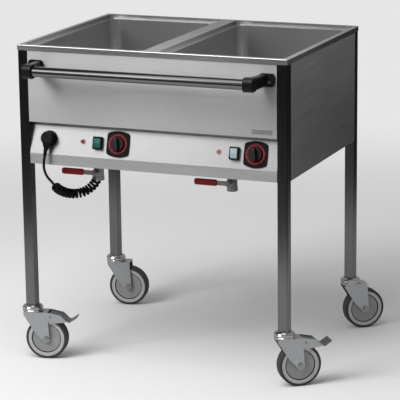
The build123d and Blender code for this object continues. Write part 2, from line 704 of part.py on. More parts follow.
# Two tangent arcs from each node to the next
with BuildPart() as cord_coil:
    with BuildLine() as coil_path:
        Line(COIL_ROUTE[0], nodes[0][0])
        for (start, start_dir), (end, end_dir) in zip(nodes, nodes[1:]):
            chord = end - start
            both = start_dir + end_dir
            reach = chord.dot(both)
            bend = 2 * (1 - start_dir.dot(end_dir))
            tangent_length = (math.sqrt(reach**2 + bend * chord.dot(chord)) - reach) / bend
            middle = (start + end + (start_dir - end_dir) * tangent_length) / 2
            first_arc = TangentArc(start, middle, tangent=start_dir)
            TangentArc(middle, end, tangent=first_arc % 1)
        Line(nodes[-1][0], COIL_ROUTE[-1])
    with BuildSketch(Plane(origin=COIL_ROUTE[0], z_dir=coil_line.tangent_at(0))):
        Circle(CORD_DIAMETER / 2)
    sweep()
save(cord_coil.part, "cord_coil")

coil_wire = coil_path.wires()[0]
samples = int(coil_wire.length)
wire_samples = [coil_wire.position_at(i / samples) for i in range(samples + 1)]
least_gap = min(
    (wire_samples[i] - wire_samples[j]).length
    for i in range(len(wire_samples))
    for j in range(i + 4 * int(CORD_DIAMETER), min(i + 160, len(wire_samples)))
) - CORD_DIAMETER
arc_radii = [edge.radius for edge in coil_path.edges() if edge.geom_type == GeomType.CIRCLE]
coil_volume = math.pi * (CORD_DIAMETER / 2) ** 2 * coil_wire.length
print("coil: middle line", round(coil_length, 1), "wire", round(coil_wire.length, 1))
print("coil: turns", round(turned / (2 * math.pi), 2), "least gap to itself", round(least_gap, 2))
print("coil: least arc radius", round(min(arc_radii), 2))
print("coil: volume over section times length", round(cord_coil.part.volume / coil_volume, 4))
print("cord: whole length", round(lead_length + coil_wire.length, 1))

# Cord gland: a tapered relief under the bottom cover, its thread and nut through the cover
GLAND_X = COIL_ROUTE[-1].X
GLAND_Y = COIL_ROUTE[-1].Y
GLAND_THREAD = 8.0
GLAND_COLLAR = 8.5
RELIEF_TIP = CORD_DIAMETER / 2 + 1.1
COVER_TOP = COVER_Z + SHEET
with BuildPart() as cord_gland:
    with BuildSketch(Plane((GLAND_X, GLAND_Y, COIL_ROUTE[-1].Z))):
        Circle(RELIEF_TIP)
    with BuildSketch(Plane((GLAND_X, GLAND_Y, COVER_Z - GLAND_COLLAR))):
        Circle(GLAND_THREAD)
    loft()
    with BuildSketch(Plane((GLAND_X, GLAND_Y, COVER_Z - GLAND_COLLAR))):
        RegularPolygon(GLAND_THREAD + 2.0, 6, major_radius=False)
    extrude(amount=GLAND_COLLAR)
    with BuildSketch(Plane((GLAND_X, GLAND_Y, COVER_Z))):
        Circle(GLAND_THREAD)
    extrude(amount=SHEET + 6.0)
    with BuildSketch(Plane((GLAND_X, GLAND_Y, COVER_TOP))):
        RegularPolygon(GLAND_THREAD + 2.0, 6, major_radius=False)
    extrude(amount=4.0)
save(cord_gland.part, "cord_gland")

# Bottom cover: it lies on the panels' turned-in feet, notched round the legs
VENT_SLOT = (60.0, 6.0)
VENT_PITCH = 14.0
with BuildPart() as bottom_cover:
    with BuildSketch(Plane.XY.offset(COVER_Z)):
        Rectangle(2 * (RIGHT_X - SHEET), 2 * BAY_Y)
        Rectangle(2 * BAY_X, 2 * (-FRONT_Y - SHEET))
        with Locations(*DRAIN_PLACES):
            Circle(DRAIN_RADIUS + 0.9, mode=Mode.SUBTRACT)
        with Locations((GLAND_X, GLAND_Y)):
            Circle(GLAND_THREAD + 0.2, mode=Mode.SUBTRACT)
        with Locations((0, 120.0)):
            with GridLocations(0, VENT_PITCH, 1, 6):
                SlotOverall(*VENT_SLOT, mode=Mode.SUBTRACT)
    extrude(amount=SHEET)
save(bottom_cover.part, "bottom_cover")

# Terminal block on the cover, beside the gland
BLOCK_PLACE = (-90.0, -150.0)
BLOCK_LENGTH = 70.0
BLOCK_WIDTH = 30.0
BLOCK_STEP = 14.0
BLOCK_HEIGHT = 24.0
TERMINAL_PITCH = 12.0
with BuildPart() as terminal_block:
    with BuildSketch(Plane((*BLOCK_PLACE, COVER_TOP))):
        RectangleRounded(BLOCK_LENGTH, BLOCK_WIDTH, 2.0)
    extrude(amount=BLOCK_STEP)
    with BuildSketch(Plane((*BLOCK_PLACE, COVER_TOP))):
        RectangleRounded(BLOCK_LENGTH, BLOCK_WIDTH / 2, 2.0)
    extrude(amount=BLOCK_HEIGHT)
    with BuildSketch(Plane((*BLOCK_PLACE, COVER_TOP + BLOCK_HEIGHT))):
        with GridLocations(TERMINAL_PITCH, 0, 5, 1):
            Circle(3.0)
    extrude(amount=BLOCK_STEP - BLOCK_HEIGHT, mode=Mode.SUBTRACT)
save(terminal_block.part, "terminal_block")

# Drain valves: thread bores at both ends, a ball seat, and a bonnet for the stem
VALVE_HEX = 12.5
VALVE_HEX_HEIGHT = 13.0
VALVE_BARREL = 13.5
HEX_CHAMFER = 14.5
VALVE_BORE = 7.5
DRAIN_THREAD = 9.5
BALL_RADIUS = 11.0
BONNET_RADIUS = 8.0
BONNET_LENGTH = 22.0
BONNET_GAP = 0.4
STEM_RADIUS = 4.0
VALVE_FOOT = VALVE_Z - VALVE_LENGTH / 2
VALVE_TOP = VALVE_Z + VALVE_LENGTH / 2
PIPE_FOOT = VALVE_TOP - VALVE_HEX_HEIGHT + 1.0

with BuildPart() as drain_pipes:
    with BuildSketch(Plane.XY.offset(PIPE_FOOT)):
        with Locations(*DRAIN_PLACES):
            Circle(DRAIN_RADIUS)
            Circle(DRAIN_RADIUS - SHEET, mode=Mode.SUBTRACT)
    extrude(amount=WELL_FLOOR - SHEET - PIPE_FOOT)
save(drain_pipes.part, "drain_pipes")


def valve_front(x, out):
    """A plane square to a valve's stem, so far in front of the valve's middle."""
    return Plane(origin=(x, DRAIN_Y - out, VALVE_Z), x_dir=(1, 0, 0), z_dir=(0, -1, 0))


with BuildPart() as valve_bodies:
    with BuildSketch(Plane.XY.offset(VALVE_FOOT)):
        with Locations(*DRAIN_PLACES):
            Circle(VALVE_BARREL)
    extrude(amount=VALVE_LENGTH)
    with BuildSketch(Plane.XY.offset(VALVE_FOOT), Plane.XY.offset(VALVE_TOP - VALVE_HEX_HEIGHT)):
        with Locations(*DRAIN_PLACES):
            Circle(HEX_CHAMFER)
            RegularPolygon(VALVE_HEX, 6, major_radius=False, rotation=20, mode=Mode.INTERSECT)
    extrude(amount=VALVE_HEX_HEIGHT)
    for x, y in DRAIN_PLACES:
        with BuildSketch(valve_front(x, 0)):
            Circle(BONNET_RADIUS)
        extrude(amount=BONNET_LENGTH)
    with Locations(*[(x, y, VALVE_Z) for x, y in DRAIN_PLACES]):
        Sphere(BALL_RADIUS + RUNNING_GAP, mode=Mode.SUBTRACT)
    with BuildSketch(Plane.XY.offset(VALVE_FOOT)):
        with Locations(*DRAIN_PLACES):
            Circle(VALVE_BORE)
    extrude(amount=VALVE_LENGTH, mode=Mode.SUBTRACT)
    with BuildSketch(Plane.XY.offset(VALVE_FOOT)):
        with Locations(*DRAIN_PLACES):
            Circle(DRAIN_THREAD)
    extrude(amount=VALVE_HEX_HEIGHT, mode=Mode.SUBTRACT)
    with BuildSketch(Plane.XY.offset(VALVE_TOP)):
        with Locations(*DRAIN_PLACES):
            Circle(DRAIN_RADIUS + 0.1)
    extrude(amount=-VALVE_HEX_HEIGHT, mode=Mode.SUBTRACT)
    for x, y in DRAIN_PLACES:
        with BuildSketch(valve_front(x, 0)):
            Circle(STEM_RADIUS + RUNNING_GAP)
        extrude(amount=BONNET_LENGTH, mode=Mode.SUBTRACT)
save(valve_bodies.part, "valve_bodies")

# Valve ball and stem, its lever and the lever's red sleeve; closed, the lever points to -X
LEVER_SHEET = 2.5
LEVER_WIDTH = 12.0
LEVER_BOSS = 9.0
SLEEVE_START = 30.0
SLEEVE_HEIGHT = 17.0
SLEEVE_THICK = 8.0
LEVER_BACK = LEVER_STANDOFF - LEVER_SHEET / 2
STEM_COLLAR = 6.0
STEM_NUT = 6.0
NUT_HEIGHT = 5.0
for side, (x, y) in zip(SIDES, DRAIN_PLACES):
    with BuildPart() as valve_stem:
        with Locations((x, y, VALVE_Z)):
            Sphere(BALL_RADIUS)
        with BuildSketch(valve_front(x, 0)):
            Circle(STEM_RADIUS)
        extrude(amount=LEVER_BACK + LEVER_SHEET)
        with BuildSketch(valve_front(x, BONNET_LENGTH + BONNET_GAP)):
            Circle(STEM_COLLAR)
        extrude(amount=LEVER_BACK - BONNET_LENGTH - BONNET_GAP)
        with BuildSketch(valve_front(x, LEVER_BACK + LEVER_SHEET)):
            RegularPolygon(STEM_NUT, 6, major_radius=False)
        extrude(amount=NUT_HEIGHT)
        with BuildSketch(Plane((x - BALL_RADIUS, y, VALVE_Z), z_dir=(1, 0, 0))):
            Circle(VALVE_BORE - 0.5)
        extrude(amount=2 * BALL_RADIUS, mode=Mode.SUBTRACT)
    save(valve_stem.part, f"valve_stem_{side}")

    with BuildPart() as valve_lever:
        with BuildSketch(valve_front(x, LEVER_BACK)):
            Circle(LEVER_BOSS)
            with Locations((-LEVER_LENGTH / 2, 0)):
                RectangleRounded(LEVER_LENGTH, LEVER_WIDTH, 3.0)
            Circle(STEM_RADIUS, mode=Mode.SUBTRACT)
        extrude(amount=LEVER_SHEET)
    save(valve_lever.part, f"valve_lever_{side}")

    with BuildPart() as lever_sleeve:
        with BuildSketch(valve_front(x, LEVER_STANDOFF - SLEEVE_THICK / 2)):
            with Locations((-(SLEEVE_START + LEVER_LENGTH + 1.0) / 2, 0)):
                RectangleRounded(LEVER_LENGTH + 1.0 - SLEEVE_START, SLEEVE_HEIGHT, 6.0)
        extrude(amount=SLEEVE_THICK)
        fillet(lever_sleeve.edges().group_by(Axis.Y)[0], 3.0)
        fillet(lever_sleeve.edges().group_by(Axis.Y)[-1], 3.0)
        with BuildSketch(valve_front(x, LEVER_BACK)):
            with Locations((-LEVER_LENGTH / 2, 0)):
                RectangleRounded(LEVER_LENGTH, LEVER_WIDTH, 3.0)
        extrude(amount=LEVER_SHEET, mode=Mode.SUBTRACT)
    save(lever_sleeve.part, f"lever_sleeve_{side}")

# Caster heads: a pressed dish under each leg, a plug in the leg and the king pin
KING_PIN = 6.0
PIN_HEAD = 9.0
PIN_HEAD_TOP = 128.2
PIN_HEAD_HEIGHT = 4.2
RACE_ROOF = 133.0
RACE_SKIRT = (25.0, 131.4)
PLUG_WIDTH = 24.0
PLUG_HEIGHT = 40.0
HEAD_PROFILE = [
    (0, PIN_HEAD_TOP - PIN_HEAD_HEIGHT),
    (PIN_HEAD, PIN_HEAD_TOP - PIN_HEAD_HEIGHT),
    (PIN_HEAD, PIN_HEAD_TOP),
    (KING_PIN, PIN_HEAD_TOP),
    (KING_PIN, RACE_ROOF),
    (RACE_SKIRT[0], RACE_ROOF),
    RACE_SKIRT,
    (HEAD_DIAMETER / 2 - 1.0, RACE_SKIRT[1]),
    (HEAD_DIAMETER / 2, 132.6),
    (HEAD_DIAMETER / 2, 135.4),
    (HEAD_DIAMETER / 2 - 1.2, 136.9),
    (HEAD_DIAMETER / 2, 138.4),
    (HEAD_DIAMETER / 2, 142.4),
    (HEAD_DIAMETER / 2 - 2.4, 146.2),
    (HEAD_DIAMETER / 2 - 7.5, CASTER_HEIGHT),
    (0, CASTER_HEIGHT),
]
with BuildPart() as caster_heads:
    for sign_x, sign_y, _ in CASTERS.values():
        swivel = (sign_x * LEG_X, sign_y * LEG_Y, 0)
        with BuildSketch(Plane(origin=swivel, x_dir=(1, 0, 0), z_dir=(0, -1, 0))):
            with BuildLine():
                Polyline(*HEAD_PROFILE, close=True)
            make_face()
        revolve(axis=Axis(swivel, (0, 0, 1)))
        with BuildSketch(Plane(origin=(sign_x * LEG_X, sign_y * LEG_Y, CASTER_HEIGHT))):
            RectangleRounded(PLUG_WIDTH, PLUG_WIDTH, 2.0)
        extrude(amount=PLUG_HEIGHT)
save(caster_heads.part, "caster_heads")


def caster_plane(corner, out=0.0):
    """A caster's side plane: x along its trail, y up from the floor, z along its axle."""
    sign_x, sign_y, trail = CASTERS[corner]
    trail_dir = Vector(math.cos(math.radians(trail)), math.sin(math.radians(trail)), 0)
    axle_dir = Vector(trail_dir.Y, -trail_dir.X, 0)
    swivel = Vector(sign_x * LEG_X, sign_y * LEG_Y, 0)
    return Plane(origin=swivel + axle_dir * out, x_dir=trail_dir, z_dir=axle_dir)


# Forks, axles, wheels and tyres; the front forks carry arms for their brake pedals
CROWN_UNDER = CROWN_TOP - FORK_SHEET
RACE_HEIGHT = 1.6
FORK_OUTER = FORK_INNER + FORK_SHEET
CROWN_BACK = 22.0
CROWN_FRONT = 44.0
CROWN_RADIUS = 24.0
CHEEK_PROFILE = [
    (-CROWN_BACK, CROWN_TOP),
    (-CROWN_BACK, 123.0),
    (8.0, 75.0),
    (30.2, 51.8),
    (TRAIL + 10.0, WHEEL_RADIUS),
    (CROWN_FRONT, CROWN_TOP),
]
ARM_PROFILE = [
    (30.0, CROWN_TOP),
    (CROWN_FRONT, CROWN_TOP),
    (80.0, 124.0),
    (97.0, 108.0),
    (93.0, 105.0),
    (50.0, 100.0),
]
PEDAL_PIVOT = (52.0, 119.0)
PEDAL_PIN = 3.0
AXLE_HEX = 6.5
AXLE_HEX_LENGTH = 5.0
HUB_BOSS = 12.0
HUB_BOSS_HALF = 16.5
HUB_DISC_HALF = 12.0
GROOVE_INNER = 38.4
GROOVE_OUTER = 40.4
GROOVE_DEPTH = 3.0
AXLE_EYE = 10.0
for corner, (sign_x, sign_y, _) in CASTERS.items():
    braked = sign_y < 0
    with BuildPart() as caster_fork:
        with BuildSketch(caster_plane(corner, -FORK_OUTER), caster_plane(corner, FORK_INNER)):
            with BuildLine():
                Polyline(*CHEEK_PROFILE, close=True)
            make_face()
            if braked:
                with BuildLine():
                    Polyline(*ARM_PROFILE, close=True)
                make_face()
            with Locations((TRAIL, WHEEL_RADIUS)):
                Circle(AXLE_EYE)
                Circle(AXLE_RADIUS, mode=Mode.SUBTRACT)
            if braked:
                with Locations(PEDAL_PIVOT):
                    Circle(PEDAL_PIN + RUNNING_GAP, mode=Mode.SUBTRACT)
        extrude(amount=FORK_SHEET)
        crown_plane = Plane(
            origin=(sign_x * LEG_X, sign_y * LEG_Y, CROWN_UNDER), x_dir=caster_plane(corner).x_dir
        )
        with BuildSketch(crown_plane):
            Circle(CROWN_RADIUS)
            with Locations(((CROWN_FRONT - CROWN_BACK) / 2, 0)):
                Rectangle(CROWN_FRONT + CROWN_BACK, 2 * FORK_OUTER)
        extrude(amount=FORK_SHEET)
        with BuildSketch(crown_plane.offset(FORK_SHEET)):
            Circle(CROWN_RADIUS)
        extrude(amount=RACE_HEIGHT)
        with BuildSketch(crown_plane):
            Circle(KING_PIN + RUNNING_GAP)
        extrude(amount=FORK_SHEET + RACE_HEIGHT, mode=Mode.SUBTRACT)
    save(caster_fork.part, f"caster_fork_{corner}")

    with BuildPart() as axle:
        with BuildSketch(caster_plane(corner, -FORK_OUTER)):
            with Locations((TRAIL, WHEEL_RADIUS)):
                Circle(AXLE_RADIUS)
        extrude(amount=2 * FORK_OUTER)
        hex_starts = (FORK_OUTER, -FORK_OUTER - AXLE_HEX_LENGTH)
        with BuildSketch(*[caster_plane(corner, start) for start in hex_starts]):
            with Locations((TRAIL, WHEEL_RADIUS)):
                RegularPolygon(AXLE_HEX, 6, major_radius=False)
        extrude(amount=AXLE_HEX_LENGTH)
    save(axle.part, f"axle_{corner}")

    # The wheel's section: x out from its middle along the axle, y up from the axle's centre
    middle = caster_plane(corner)
    hub_centre = middle.origin + middle.x_dir * TRAIL + Vector(0, 0, WHEEL_RADIUS)
    section = Plane(origin=hub_centre, x_dir=middle.z_dir, z_dir=-middle.x_dir)
    spin_axis = Axis(hub_centre, middle.z_dir)
    half_section = [
        (HUB_BOSS_HALF, AXLE_RADIUS + RUNNING_GAP),
        (HUB_BOSS_HALF, HUB_BOSS),
        (HUB_DISC_HALF, HUB_BOSS + 1.0),
        (HUB_DISC_HALF, GROOVE_INNER),
        (HUB_DISC_HALF - GROOVE_DEPTH, GROOVE_INNER),
        (HUB_DISC_HALF - GROOVE_DEPTH, GROOVE_OUTER),
        (TYRE_WIDTH / 2 - 1.0, GROOVE_OUTER),
        (TYRE_WIDTH / 2, GROOVE_OUTER + 1.0),
        (TYRE_WIDTH / 2, RING_RADIUS),
    ]
    with BuildPart() as wheel:
        with BuildSketch(section):
            with BuildLine():
                Polyline(*half_section, *[(-x, y) for x, y in reversed(half_section)], close=True)
            make_face()
        revolve(axis=spin_axis)
    save(wheel.part, f"wheel_{corner}")

    with BuildPart() as tyre:
        with BuildSketch(section):
            with Locations((0, (RING_RADIUS + WHEEL_RADIUS) / 2)):
                tread = Rectangle(TYRE_WIDTH, WHEEL_RADIUS - RING_RADIUS)
            fillet(tread.vertices().group_by(Axis.Y)[-1], 4.0)
        revolve(axis=spin_axis)
    save(tyre.part, f"tyre_{corner}")

# Brake pedals between the front forks' arms, each on its own pin
PEDAL_HALF = 16.5
PEDAL_SHEET = 3.0
TOE_HALF = 20.0
PEDAL_BOSS = PEDAL_PIN + 1.2
LEVER_LINE = [(48.0, 127.5), (80.0, 120.5), (97.0, 109.0), (104.0, 107.5), (122.0, 119.0)]
TOE_LINE = [(102.0, 107.0), (104.0, 107.5), (122.0, 119.0)]
SHOE_PROFILE = [(58.0, 125.5), (62.0, 115.5), (76.0, 107.2), (82.0, 119.5)]
WEB_PROFILE = [
    (48.5, 127.0),
    (PEDAL_PIVOT[0] - PEDAL_PIN, PEDAL_PIVOT[1]),
    (PEDAL_PIVOT[0] + PEDAL_PIN, PEDAL_PIVOT[1]),
    (58.0, 124.8),
]
for corner in ("front_left", "front_right"):
    with BuildPart() as brake_pedal:
        with BuildSketch(caster_plane(corner, -PEDAL_HALF)):
            with BuildLine():
                lever_line = Polyline(*LEVER_LINE)
                offset(lever_line, amount=PEDAL_SHEET, side=Side.RIGHT)
            make_face()
            with BuildLine():
                Polyline(*SHOE_PROFILE, close=True)
            make_face()
            with Locations(PEDAL_PIVOT):
                Circle(PEDAL_BOSS)
            with BuildLine():
                Polyline(*WEB_PROFILE, close=True)
            make_face()
        extrude(amount=2 * PEDAL_HALF)
        with BuildSketch(caster_plane(corner, -TOE_HALF)):
            with BuildLine():
                toe_line = Polyline(*TOE_LINE)
                offset(toe_line, amount=PEDAL_SHEET, side=Side.RIGHT)
            make_face()
        extrude(amount=2 * TOE_HALF)
        with BuildSketch(caster_plane(corner, -FORK_OUTER - 0.5)):
            with Locations(PEDAL_PIVOT):
                Circle(PEDAL_PIN)
        extrude(amount=2 * FORK_OUTER + 1.0)
    save(brake_pedal.part, f"brake_pedal_{corner.removeprefix('front_')}")
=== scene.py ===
"""Mobile bain marie, dressed for rendering. Metres, in the CAD model's own frame."""

import math

import bpy
from mathutils import Matrix, Vector


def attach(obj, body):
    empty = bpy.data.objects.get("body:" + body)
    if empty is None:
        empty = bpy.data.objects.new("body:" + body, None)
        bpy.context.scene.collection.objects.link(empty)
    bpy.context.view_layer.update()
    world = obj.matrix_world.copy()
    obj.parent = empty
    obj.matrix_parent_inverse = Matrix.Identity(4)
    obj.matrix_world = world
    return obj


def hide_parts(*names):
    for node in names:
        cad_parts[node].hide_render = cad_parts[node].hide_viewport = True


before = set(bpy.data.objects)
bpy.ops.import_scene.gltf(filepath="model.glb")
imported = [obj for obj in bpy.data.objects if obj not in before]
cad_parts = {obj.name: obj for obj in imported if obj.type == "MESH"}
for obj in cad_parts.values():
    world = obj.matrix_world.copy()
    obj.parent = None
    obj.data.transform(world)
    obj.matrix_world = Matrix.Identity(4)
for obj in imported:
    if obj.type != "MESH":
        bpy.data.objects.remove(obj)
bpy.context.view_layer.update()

bpy.ops.object.select_all(action="DESELECT")
scene = bpy.context.scene
MM = 0.001


# Camera: a long lens at the operator's left, a little above the rim, as the photograph was taken.
# The place and the angles come from the rim's four corners and the leg feet.
CAMERA_PLACE = Vector((2.1000, -5.0662, 1.7383))
CAMERA_YAW = 22.33
CAMERA_PITCH = 13.67
CAMERA_ROLL = -0.7
CAMERA_LENS = 185.84
camera_data = bpy.data.cameras.new("camera")
camera_data.lens = CAMERA_LENS
camera_data.sensor_width = 36.0
camera_data.sensor_fit = "HORIZONTAL"
camera_data.clip_end = 100.0
camera = bpy.data.objects.new("camera", camera_data)
scene.collection.objects.link(camera)
camera.matrix_world = (
    Matrix.Translation(CAMERA_PLACE)
    @ Matrix.Rotation(math.radians(CAMERA_YAW), 4, "Z")
    @ Matrix.Rotation(math.radians(90.0 - CAMERA_PITCH), 4, "X")
    @ Matrix.Rotation(math.radians(CAMERA_ROLL), 4, "Z")
)
scene.camera = camera
scene.view_settings.view_transform = "Standard"

# Mains cord: 7 mm black rubber lead from the gland under the cabinet, wound into a curly stretch
# and then plain up to the parked plug. One piece of cable, so one spline.
CORD_DIAMETER = 7.0 * MM
COIL_RADIUS = 10.0 * MM
COIL_PITCH = 9.65 * MM
COIL_EASE = 24.0 * MM
COIL_STEPS = 16
PANEL_FRONT = -286.5
SLOPE_FOOT = 571.5
SLOPE_RUN = 20.0
SLOPE_RISE = 74.5
SLOPE_LENGTH = math.hypot(SLOPE_RUN, SLOPE_RISE)
UP_SLOPE = Vector((0, SLOPE_RUN / SLOPE_LENGTH, SLOPE_RISE / SLOPE_LENGTH))
OUT_OF_SLOPE = Vector((0, -SLOPE_RISE / SLOPE_LENGTH, SLOPE_RUN / SLOPE_LENGTH))


def on_slope(x, up, out=0.0):
    """A place on the control panel's face, in millimetres, as a point in metres."""
    foot = Vector((x, PANEL_FRONT, SLOPE_FOOT)) * MM
    return foot + UP_SLOPE * up * MM + OUT_OF_SLOPE * out * MM


PARKING_X = -293.5
PARKING_UP = 41.6
NECK_LEAN = math.radians(-5.0)
NECK_OUT = 15.0
RELIEF_END = 48.0
FIRST_RUN = 17.5 * MM
LAST_RUN = 18.5 * MM
neck_dir = Vector((math.sin(NECK_LEAN), 0, 0)) - UP_SLOPE * math.cos(NECK_LEAN)
LEAD_START = on_slope(PARKING_X, PARKING_UP, NECK_OUT) + neck_dir * RELIEF_END * MM
COIL_POINTS = [
    Vector((-0.2978, -0.2570, 0.4846)),
    Vector((-0.3014, -0.2300, 0.4667)),
    Vector((-0.2999, -0.2056, 0.4530)),
    Vector((-0.2919, -0.1818, 0.4414)),
    Vector((-0.2752, -0.1601, 0.4362)),
    Vector((-0.2532, -0.1447, 0.4430)),
    Vector((-0.2340, -0.1360, 0.4604)),
    Vector((-0.2220, -0.1330, 0.4860)),
    Vector((-0.2220, -0.1330, 0.5110)),
]
LEAD_POINTS = [
    LEAD_START,
    LEAD_START + neck_dir * FIRST_RUN,
    Vector((-0.2993, -0.3056, 0.5349)),
    Vector((-0.2983, -0.2981, 0.5189)),
    Vector((-0.2970, -0.2863, 0.5057)),
    COIL_POINTS[0] + (COIL_POINTS[0] - COIL_POINTS[1]).normalized() * LAST_RUN,
]


def nurbs_curve(name, points, resolution):
    """An open NURBS curve of order 3 with these control points."""
    curve = bpy.data.curves.new(name, "CURVE")
    curve.dimensions = "3D"
    spline = curve.splines.new("NURBS")
    spline.points.add(len(points) - 1)
    for point, place in zip(spline.points, points):
        point.co = (*place, 1.0)
    spline.order_u = 3
    spline.use_endpoint_u = True
    spline.resolution_u = resolution
    curve.resolution_u = resolution
    curve_object = bpy.data.objects.new(name, curve)
    scene.collection.objects.link(curve_object)
    return curve_object


def points_along(curve_object):
    """The points that a curve's own line passes, in order."""
    bpy.context.view_layer.update()
    mesh = bpy.data.meshes.new_from_object(curve_object)
    places = [vertex.co.copy() for vertex in mesh.vertices]
    bpy.data.meshes.remove(mesh)
    return places


middle_curve = nurbs_curve("coil_middle", COIL_POINTS, 40)
middle = points_along(middle_curve)
bpy.data.objects.remove(middle_curve)
distances = [0.0]
for start, end in zip(middle, middle[1:]):
    distances.append(distances[-1] + (end - start).length)
coil_length = distances[-1]


def along_middle(distance):
    """The place on the coil's middle line at a distance, and the line's direction there."""
    i = 1
    while i < len(distances) - 1 and distances[i] < distance:
        i += 1
    run = middle[i] - middle[i - 1]
    part_way = (distance - distances[i - 1]) / (distances[i] - distances[i - 1])
    before = middle[max(i - 3, 0)]
    after = middle[min(i + 2, len(middle) - 1)]
    return middle[i - 1] + run * part_way, (after - before).normalized()


def coil_spread(distance):
    """How open the coil is there, from 0 at its straight ends to 1 along its turns."""
    part_way = (min(distance, coil_length - distance) - CORD_DIAMETER) / COIL_EASE
    part_way = min(max(part_way, 0.0), 1.0)
    return part_way * part_way * (3 - 2 * part_way)


helix_angle = math.atan(COIL_PITCH / (2 * math.pi * COIL_RADIUS))
# A quadratic spline passes inside its points, so they stand a little further out
OUTSIDE = 1.0 / math.cos(math.pi / COIL_STEPS) ** 2
HELIX_STEP = 0.05 * MM
cord_points = LEAD_POINTS + [COIL_POINTS[0]]
distance = CORD_DIAMETER
turned = 0.0
next_turn = 0.0
across = Vector((0, 0, 1))
while distance < coil_length - CORD_DIAMETER:
    spread = coil_spread(distance)
    if turned >= next_turn:
        place, ahead = along_middle(distance)
        across = (across - ahead * across.dot(ahead)).normalized()
        side = across * math.cos(turned) + ahead.cross(across) * math.sin(turned)
        cord_points.append(place + side * COIL_RADIUS * spread * OUTSIDE)
        next_turn += 2 * math.pi / COIL_STEPS
    if spread > 0:
        slope = math.pi / 2 - (math.pi / 2 - helix_angle) * spread
        turned += HELIX_STEP / (COIL_RADIUS * spread * math.tan(slope))
    distance += HELIX_STEP
cord_points.append(along_middle(coil_length - CORD_DIAMETER)[0])
cord_points.append(COIL_POINTS[-1])


def linear(hex_colour):
    """An sRGB hex value as linear red, green, blue and alpha."""
    channels = [int(hex_colour[i:i + 2], 16) / 255 for i in (1, 3, 5)]
    return [c / 12.92 if c <= 0.04045 else ((c + 0.055) / 1.055) ** 2.4 for c in channels] + [1.0]


def add_node(tree, kind, sockets=None, **settings):
    """Adds a node to a tree, with its own settings, its sockets' values and its links."""
    node = tree.nodes.new(kind)
    for name, value in settings.items():
        setattr(node, name, value)
    for name, value in (sockets or {}).items():
        if isinstance(value, bpy.types.NodeSocket):
            tree.links.new(value, node.inputs[name])
        else:
            node.inputs[name].default_value = value
    return node


def new_material(name):
    """A material with an empty tree, its Principled shader and its output."""
    material = bpy.data.materials.new(name)
    material.use_nodes = True
    tree = material.node_tree
    tree.nodes.clear()
    shader = add_node(tree, "ShaderNodeBsdfPrincipled")
    add_node(tree, "ShaderNodeOutputMaterial", {"Surface": shader.outputs["BSDF"]})
    return material, tree, shader


def noise(tree, scale, detail):
    """Noise on Object coordinates in metres, times a scale for each axis."""
    place = add_node(tree, "ShaderNodeTexCoord")
    scaled = add_node(tree, "ShaderNodeMapping",
                      {"Vector": place.outputs["Object"], "Scale": scale})
    texture = add_node(tree, "ShaderNodeTexNoise",
                       {"Vector": scaled.outputs["Vector"], "Scale": 1.0, "Detail": detail})
    return texture.outputs["Fac"]


def spread_to(tree, value, least, most):
    """A noise value spread from least to most."""
    return add_node(tree, "ShaderNodeMapRange",
                    {"Value": value, "From Min": 0.3, "From Max": 0.7,
                     "To Min": least, "To Max": most}).outputs["Result"]


def moulded(name, colour, roughness, grain_mm=0.6, bump=0.02, specular=0.5, coat=0.0, print_and_painted_light=None):
    """Moulded plastic or rubber: an even colour, a fine spark-eroded grain and slight scuffs.
    print_and_painted_light adds the colour itself to the tree, for a piece in more than one colour:
    printed marks, and painted light such as painted shade and a painted glow."""
    material, tree, shader = new_material(name)
    if print_and_painted_light is None:
        ground = add_node(tree, "ShaderNodeRGB").outputs["Color"]
        ground.default_value = linear(colour)
    else:
        ground = print_and_painted_light(tree, colour)
    scuffs = noise(tree, (60.0, 60.0, 60.0), 5.0)
    grain = noise(tree, [1000 / grain_mm] * 3, 3.0)
    shade = add_node(tree, "ShaderNodeVectorMath",
                     {0: ground, "Scale": spread_to(tree, scuffs, 0.92, 1.08)}, operation="SCALE")
    relief = add_node(tree, "ShaderNodeBump",
                      {"Height": grain, "Strength": 0.25, "Distance": bump * MM})
    rough = spread_to(tree, scuffs, roughness - 0.05, roughness + 0.05)
    tree.links.new(shade.outputs["Vector"], shader.inputs["Base Color"])
    tree.links.new(rough, shader.inputs["Roughness"])
    tree.links.new(relief.outputs["Normal"], shader.inputs["Normal"])
    shader.inputs["Specular IOR Level"].default_value = specular
    shader.inputs["Coat Weight"].default_value = coat
    return material


# Soft black rubber: a broad dull highlight on each turn
cord_rubber = moulded("cord_black_rubber", "#070707", 0.50, grain_mm=0.8, bump=0.03, specular=0.15)
mains_cord = nurbs_curve("mains_cord", cord_points[::-1], 4)
mains_cord.data.bevel_depth = CORD_DIAMETER / 2
mains_cord.data.bevel_resolution = 4
mains_cord.data.use_fill_caps = True
mains_cord.data.materials.append(cord_rubber)
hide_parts("cord_lead", "cord_coil")
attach(mains_cord, "cabinet")

# Top plate: one bright ground stainless sheet, pressed with two recesses, its rim turned down.
# The grain runs the long way, so light drags across it in broad soft bands.
GRAIN_X = (260.0, 1.6, 1.6)
GRAIN_Y = (1.6, 260.0, 1.6)
GRAIN_Z = (1.6, 1.6, 260.0)


